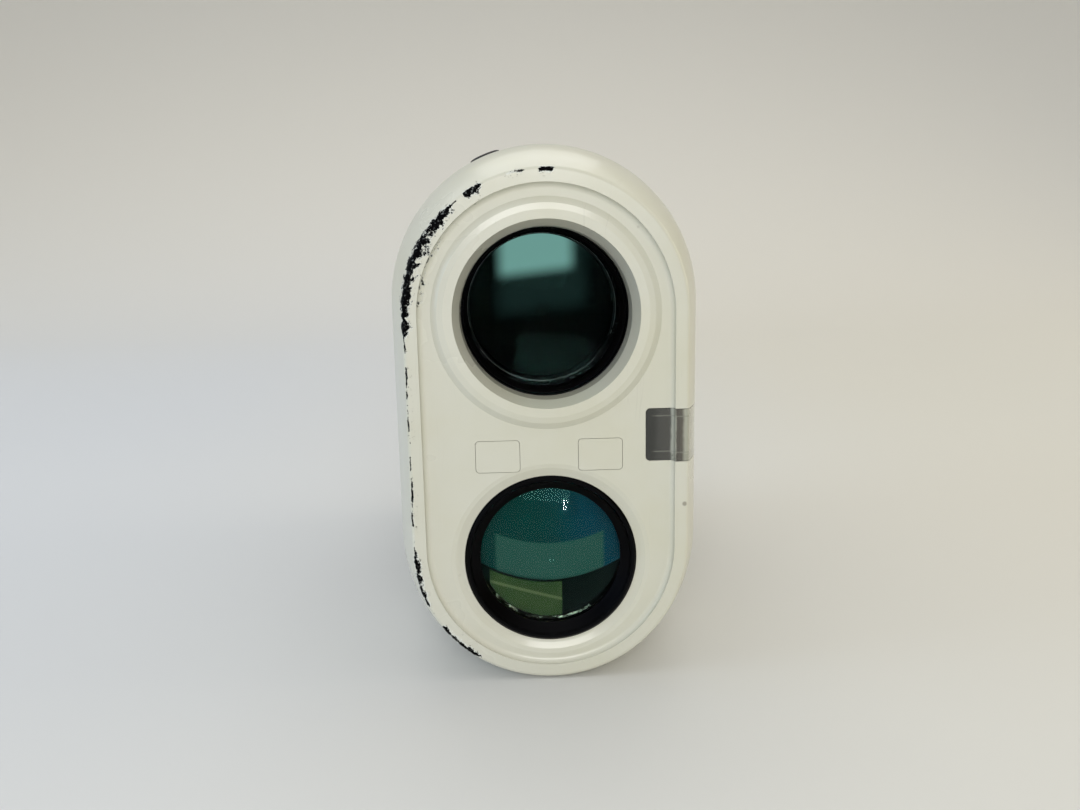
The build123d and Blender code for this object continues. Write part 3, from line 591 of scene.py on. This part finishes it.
def flat_segment(name, low_edge, top, left, right, y_front, thick, z, finish, columns=64):
    """Plate across Y in a round opening, between a lower edge z(x) and an upper edge z(x), thick along Y."""
    across = np.linspace(left, right, columns)
    share = np.linspace(0, 1, 24)[:, None]
    height = low_edge(across)[None, :] * (1 - share) + top(across)[None, :] * share
    face = np.stack(np.broadcast_arrays(across[None, :], np.full((1, 1), y_front), z + height), axis=-1)
    piece = add_mesh(name, face.reshape(-1, 3), grid_faces(24, columns), finish)
    wall = piece.modifiers.new("wall", "SOLIDIFY")
    wall.thickness = thick
    wall.offset = 0.0
    return piece


def mount(piece, body, slot, *replaced):
    """Ride on a body and stand for CAD nodes. The slot argument is not used."""
    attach(piece, body)
    if replaced:
        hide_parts(*replaced)
    return piece


# ---- inside the objective ----
THREADS = 16
THREAD_CREST, THREAD_ROOT, THREAD_BACK = 10.98, 11.16, 11.19    # barrel thread radii in mm
PRISM_RADIUS = 10.6 * MM
STOP_CREST, STOP_ROOT = 10.50, 10.62                            # light stop thread radii in mm
BEAD_RADIUS, BEAD_THICK = 10.66 * MM, 0.09 * MM


def barrel_threads():
    """Fine anti-glare threads in the objective barrel: a sawtooth between two radii, with a plain back."""
    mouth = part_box("objective_barrel")[0][1] + 0.7 * MM
    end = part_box("objective_lens_crown")[0][1] + 1.2 * MM
    depth = np.linspace(mouth, end, 2 * THREADS + 1)
    radius = np.where(np.arange(len(depth)) % 2, THREAD_CREST, THREAD_ROOT) * MM
    plain = [[THREAD_BACK * MM, end], [THREAD_BACK * MM, mouth]]
    outline = np.concatenate([np.stack([radius, depth], axis=1), plain])
    piece = ring_about_y("barrel_threads", outline, OBJECTIVE_Z, EXTRA["barrel_black"])
    facet(piece)
    return mount(piece, "case", "black_aluminium")


def prism_face():
    """Front of the prisms behind the light stop: a disc whose centre stands a little forward, carrying the
    painted glow of prism_light.
    """
    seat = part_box("objective_retainer")[1][1] - 0.12 * MM
    share = np.linspace(0.004, 1, 24)
    outline = np.stack([PRISM_RADIUS * share, seat - 0.15 * MM * (1 - share ** 2)], axis=1)
    piece = ring_about_y("prism_face", outline, OBJECTIVE_Z, EXTRA["prism_light"], 96, closed=False)
    return mount(piece, "case", "prism_glass")


def light_stop():
    """Light stop: a tube with fine threads inside, a small front bevel and a narrow rear lip."""
    low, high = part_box("objective_retainer")
    outer = high[0] - 0.03 * MM
    front, back = low[1], high[1] - 0.02 * MM
    depth = np.linspace(front + 0.9 * MM, back - 0.9 * MM, 21)
    teeth = np.where(np.arange(len(depth)) % 2, STOP_CREST, STOP_ROOT) * MM
    outline = np.concatenate([
        [[outer, front + 0.3 * MM], [outer - 0.2 * MM, front + 0.05 * MM], [10.75 * MM, front + 0.05 * MM]],
        np.stack([teeth, depth], axis=1),
        [[10.45 * MM, back - 0.5 * MM], [10.32 * MM, back - 0.3 * MM], [10.45 * MM, back], [outer, back]]])
    piece = ring_about_y("light_stop", outline, OBJECTIVE_Z, EXTRA["barrel_black"])
    facet(piece)
    return mount(piece, "case", "black_aluminium", "objective_retainer")


def stop_bead():
    """Dark polished bead inside the light stop: a small circle carried round at an uneven radius."""
    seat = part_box("objective_retainer")[0][1] + 0.5 * MM
    bend = np.linspace(0, 2 * math.pi, 12, endpoint=False)
    outline = np.stack([BEAD_RADIUS + BEAD_THICK * np.cos(bend), seat + BEAD_THICK * np.sin(bend)], axis=1)

    def uneven(turn, profile):
        return 0.03 * MM * np.sin(23 * turn) * np.sin(7 * turn + 1.0)

    piece = ring_about_y("stop_bead", outline, OBJECTIVE_Z, EXTRA["dark_chrome"], swell=uneven)
    return mount(piece, "case", "black_aluminium")


# ---- inside the receiver ----
def receiver_inside():
    """Coated plate over a green ledge, and a broken bright bevel along the bottom, all behind the lens."""
    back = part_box("receiver_lens")[1][1]
    edge = 10.05 * MM

    def foot(x):
        return -4.1 * MM + PLATE_BOW * x ** 2

    def crown(x):
        return np.sqrt(np.maximum(edge ** 2 - x ** 2, 0)) + 1e-6

    def ledge_top(x):
        return foot(x) - 0.35 * MM

    def bottom(x):
        return -np.sqrt(np.maximum((9.5 * MM) ** 2 - x ** 2, 0))

    plate = flat_segment("coated_plate", foot, crown, -edge * 0.98, edge * 0.98, back + 0.45 * MM, 0.3 * MM,
                         RECEIVER_Z, EXTRA["coated_plate"])
    mount(plate, "case", "filter_glass")
    ledge = flat_segment("green_ledge", bottom, ledge_top, -8.3 * MM, 1.6 * MM, back + 0.5 * MM, 0.3 * MM,
                         RECEIVER_Z, EXTRA["green_ledge"])
    mount(ledge, "case", "filter_glass")
    turn = np.radians(np.linspace(216, 304, 120))
    radius = np.array([9.55, 9.7, 9.98])[:, None] * MM + 0.06 * MM * np.sin(31 * turn) * np.sin(9 * turn)
    depth = (back + np.array([0.25, 0.12, 0.2]) * MM)[:, None]
    x, z = radius * np.cos(turn), RECEIVER_Z + radius * np.sin(turn)
    points = np.stack(np.broadcast_arrays(x, depth, z), axis=-1)
    bevel = add_mesh("bevel_glints", points.reshape(-1, 3), grid_faces(3, len(turn)), EXTRA["broken_glint"])
    mount(bevel, "case", "tinned_metal")


# ---- grips and eyecup ----
def corner_round(u, v, half_u, half_v, radius):
    """Move the corners of a rectangular grid onto round ones: each corner square becomes a quarter disc.

    Returns the moved u and v, and how far each point lies inside the edge.
    """
    over_u = np.maximum(np.abs(u) - (half_u - radius), 0) / radius
    over_v = np.maximum(np.abs(v) - (half_v - radius), 0) / radius
    far = np.maximum(over_u, over_v)
    near = np.minimum(over_u, over_v)
    small = np.arctan(1.0) * near / np.maximum(far, 1e-9)
    angle = np.where(over_u >= over_v, small, math.pi / 2 - small)
    in_corner = (over_u > 0) & (over_v > 0)
    new_u = np.where(in_corner, half_u - radius + radius * far * np.cos(angle), np.abs(u)) * np.sign(u)
    new_v = np.where(in_corner, half_v - radius + radius * far * np.sin(angle), np.abs(v)) * np.sign(v)
    to_side = np.minimum(half_u - np.abs(u), half_v - np.abs(v))
    return new_u, new_v, np.where(in_corner, radius * (1 - far), to_side)


def on_case(along, out):
    """Points (x, z) round the case's right side: along is arc length up from mid height, out the offset."""
    half = (CASE_HIGH_Z - CASE_LOW_Z) / 2
    over = np.maximum(np.abs(along) - half, 0)
    bend = over / CASE_RADIUS
    reach = CASE_RADIUS + out
    x = reach * np.cos(bend)
    rise = np.minimum(np.abs(along), half) + reach * np.sin(bend)
    return x, (CASE_HIGH_Z + CASE_LOW_Z) / 2 + np.sign(along) * rise


GRIP_GRID = (150, 210)          # points up and along a grip pad
GRIP_PITCH = 1.9 * MM           # from one ridge to the next


def grip_pad(side, node):
    """Ribbed soft pad let into one side.

    Height over the case is a base, plus ridges that run up the pad as a clipped cosine of y shifted by a slow
    wave along the arc, less a smooth oval for the thumb and a quarter-round fall at the edge.
    """
    low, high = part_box(node)
    top = high[0] if side > 0 else -low[0]
    half_y = (high[1] - low[1]) / 2
    middle_y = (high[1] + low[1]) / 2
    half = (CASE_HIGH_Z - CASE_LOW_Z) / 2
    up = half + CASE_RADIUS * math.asin((high[2] - CASE_HIGH_Z) / CASE_RADIUS)
    down = half + CASE_RADIUS * math.asin((CASE_LOW_Z - low[2]) / CASE_RADIUS)
    half_u, shift = (up + down) / 2 - 0.1 * MM, (up - down) / 2
    rows, columns = GRIP_GRID
    u, v = np.meshgrid(np.linspace(-half_u, half_u, rows), np.linspace(-half_y, half_y, columns),
                       indexing="ij")
    u, v, inset = corner_round(u, v, half_u, half_y, 4.9 * MM)
    wave = 1.1 * MM * np.sin(2 * math.pi * u / (19 * MM))
    ridge = np.clip(1.6 * np.cos(2 * math.pi * (v + wave) / GRIP_PITCH), -1, 1)
    calm = np.clip((inset - 1.3 * MM) / (0.8 * MM), 0, 1)
    oval = np.clip((np.hypot(u / (8.5 * MM), (v + 4 * MM) / (6.0 * MM)) - 1) * 6, 0, 1)
    height = (top - CASE_RADIUS) - 0.15 * MM + 0.14 * MM * ridge * calm * oval - 0.12 * MM * (1 - oval) * calm
    edge = np.clip(1 - inset / (0.6 * MM), 0, 1)
    height = height - 0.75 * MM * (1 - np.sqrt(1 - np.minimum(edge, 1) ** 2))
    x, z = on_case(u + shift, height)
    points = np.stack([side * x, v + middle_y, z], axis=-1).reshape(-1, 3)
    faces = grid_faces(rows, columns)
    piece = add_mesh(node + "_pad", points, faces if side > 0 else faces[:, ::-1], MATERIALS["soft_rubber"])
    wall = piece.modifiers.new("wall", "SOLIDIFY")
    wall.thickness = 0.35 * MM
    wall.offset = -1.0
    return mount(piece, "case", "soft_rubber", node)


CUP_FLUTES = 40
CUP_FLUTE_DEPTH = 0.42 * MM


def eyecup_shell():
    """Twist-up eyecup: a closed profile with rounded corners as long as the CAD cup, turned about Y.

    Outside, between two plain bands, flutes are cut as the upper half of a cosine of the turn.
    """
    low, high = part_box("eyecup")
    outer = high[0]
    front, back = low[1], high[1]
    outline = np.array([
        (12.5 * MM, front), (outer - 0.4 * MM, front), (outer - 0.02 * MM, front + 0.6 * MM),
        *[(outer - 0.02 * MM, front + depth * MM) for depth in np.linspace(1.2, 6.4, 14)],
        (outer - 0.05 * MM, back - 1.5 * MM), (outer - 0.25 * MM, back - 0.5 * MM),
        (14.4 * MM, back - 0.02 * MM),
        (13.4 * MM, back - 0.1 * MM), (12.4 * MM, back - 0.7 * MM), (11.6 * MM, back - 1.4 * MM),
        (11.3 * MM, back - 2.0 * MM), (12.5 * MM, back - 2.05 * MM)])
    outline = rounded(outline, 0.22 * MM)

    def flutes(turn, profile):
        outside = (profile[:, 0] > outer - 0.06 * MM)
        depth = profile[:, 1] - front
        band = np.clip((depth - 1.1 * MM) / (0.6 * MM), 0, 1) * np.clip((6.1 * MM - depth) / (0.6 * MM), 0, 1)
        dip = np.clip(np.cos(CUP_FLUTES * turn), 0, 1) ** 0.7
        return -CUP_FLUTE_DEPTH * (band * outside)[:, None] * dip

    piece = ring_about_y("eyecup_shell", outline, EYE_Z, MATERIALS["soft_rubber"], 400, swell=flutes)
    return mount(piece, "eyecup", "soft_rubber", "eyecup")


grip_pad(-1, "grip_left")
grip_pad(1, "grip_right")
eyecup_shell()
barrel_threads()
prism_face()
light_stop()
stop_bead()
receiver_inside()


# ---- stage: sweep, lights and camera ----
def sweep():
    """Pale floor that curves up into a backdrop: a flat run, a quarter circle and a wall, pulled along X. Its
    colour carries painted light: bluish to the left, warm to the right, and lighter up the wall.
    """
    bend = np.linspace(0, math.pi / 2, 32)
    depth = np.concatenate([[-1.6], 0.5 + 0.9 * np.sin(bend), [1.4]])
    height = np.concatenate([[0.0], 0.9 - 0.9 * np.cos(bend), [2.2]])
    across = np.array([-2.4, 2.4])
    points = np.stack(np.broadcast_arrays(across[None, :], depth[:, None], height[:, None]), axis=-1)
    made, tree, shader = material("pale_sweep", Roughness=0.75)
    place = put(tree, "TexCoord").outputs["Object"]
    colour = blend_colour(tree, noise(tree, place, 3.0, 2.0), (0.63, 0.625, 0.605), (0.65, 0.645, 0.63))
    wall = put(tree, "SeparateXYZ", Vector=place).outputs
    # Painted light: bluish to the left and warm to the right, for the coloured shade and fill on either side.
    tint = blend_colour(tree, ramp(tree, wall[0], -0.16, 0.16), (0.62, 0.65, 0.70), (0.665, 0.645, 0.575))
    colour = blend_colour(tree, 0.85, colour, tint)
    # Painted light: lighter up the backdrop, for the light falling on the wall.
    colour = blend_colour(tree, ramp(tree, wall[1], 0.1, 1.2), colour, (0.88, 0.855, 0.79))
    tree.links.new(colour, shader.inputs["Base Color"])
    piece = add_mesh("pale_sweep", points.reshape(-1, 3), grid_faces(len(depth), 2), made)


def softbox(name, place, target, size, radiance, colour=(1, 1, 1), roll=0.0):
    """Rectangular area light turned towards a point. Its power is radiance times pi times its area."""
    data = bpy.data.lights.new(name, "AREA")
    data.shape = "RECTANGLE"
    data.size, data.size_y = size
    data.energy = radiance * math.pi * size[0] * size[1]
    data.color = colour
    lamp = bpy.data.objects.new(name, data)
    lamp.location = place
    turn = (Vector(target) - Vector(place)).to_track_quat("-Z", "Y").to_matrix()
    lamp.rotation_euler = (turn @ Matrix.Rotation(math.radians(roll), 3, "Z")).to_euler()
    bpy.context.scene.collection.objects.link(lamp)
    return lamp


def camera():
    """Camera in front, a little left and above, looking slightly down."""
    data = bpy.data.cameras.new("camera")
    data.lens = 28.23
    data.sensor_width = 36.0
    data.clip_start = 0.005
    seen = bpy.data.objects.new("camera", data)
    seen.location = (-4.69 * MM, -158.8 * MM, 58.05 * MM)
    seen.rotation_euler = [math.radians(angle) for angle in (80.074, 1.149, -2.061)]
    bpy.context.scene.collection.objects.link(seen)
    bpy.context.scene.camera = seen


def studio():
    """Room light that is bright overhead and dim at eye level, boxes in front and above, and tinted sides."""
    world = bpy.data.worlds.new("room")
    world.use_nodes = True
    tree = world.node_tree
    way = put(tree, "TexCoord").outputs["Generated"]
    x, y, z = put(tree, "SeparateXYZ", Vector=way).outputs
    lift = ramp(tree, calc(tree, "ADD", z, calc(tree, "MULTIPLY", y, 0.4)), 0.2, 0.9)
    side = ramp(tree, x, -0.7, 0.7)
    low = blend_colour(tree, side, (0.21, 0.25, 0.32), (0.28, 0.25, 0.19))
    tree.links.new(blend_colour(tree, lift, low, (1.02, 1.015, 0.98)), tree.nodes["Background"].inputs[0])
    bpy.context.scene.world = world
    centre = (0, 0, 35 * MM)
    lens = (0, -38 * MM, OBJECTIVE_Z)
    softbox("front_box", (-0.02, -0.88, 0.36), lens, (0.50, 0.42), 6.6, (1.0, 0.985, 0.95), -7.0)
    softbox("back_top", (0.0, 0.50, 0.95), centre, (0.8, 0.5), 1.2, (1.0, 0.99, 0.96))
    softbox("left_fill", (-0.9, -0.1, 0.30), centre, (0.5, 0.5), 2.2, (0.62, 0.80, 1.0))
    softbox("right_fill", (0.9, 0.1, 0.35), centre, (0.5, 0.5), 1.8, (1.0, 0.88, 0.62))
    # A small lamp that only the receiver lens sees. Its red makes up for the coating's green.
    lamp = softbox("small_lamp", (0.17, -1.0, 0.13), (0, -48 * MM, RECEIVER_Z), (0.045, 0.085), 420.0,
                   (1.0, 0.45, 0.46))
    only = bpy.data.collections.new("small_lamp_reach")
    only.objects.link(NODES["receiver_lens"])
    lamp.light_linking.receiver_collection = only


sweep()
studio()
camera()
bpy.context.scene.view_settings.view_transform = "Standard"
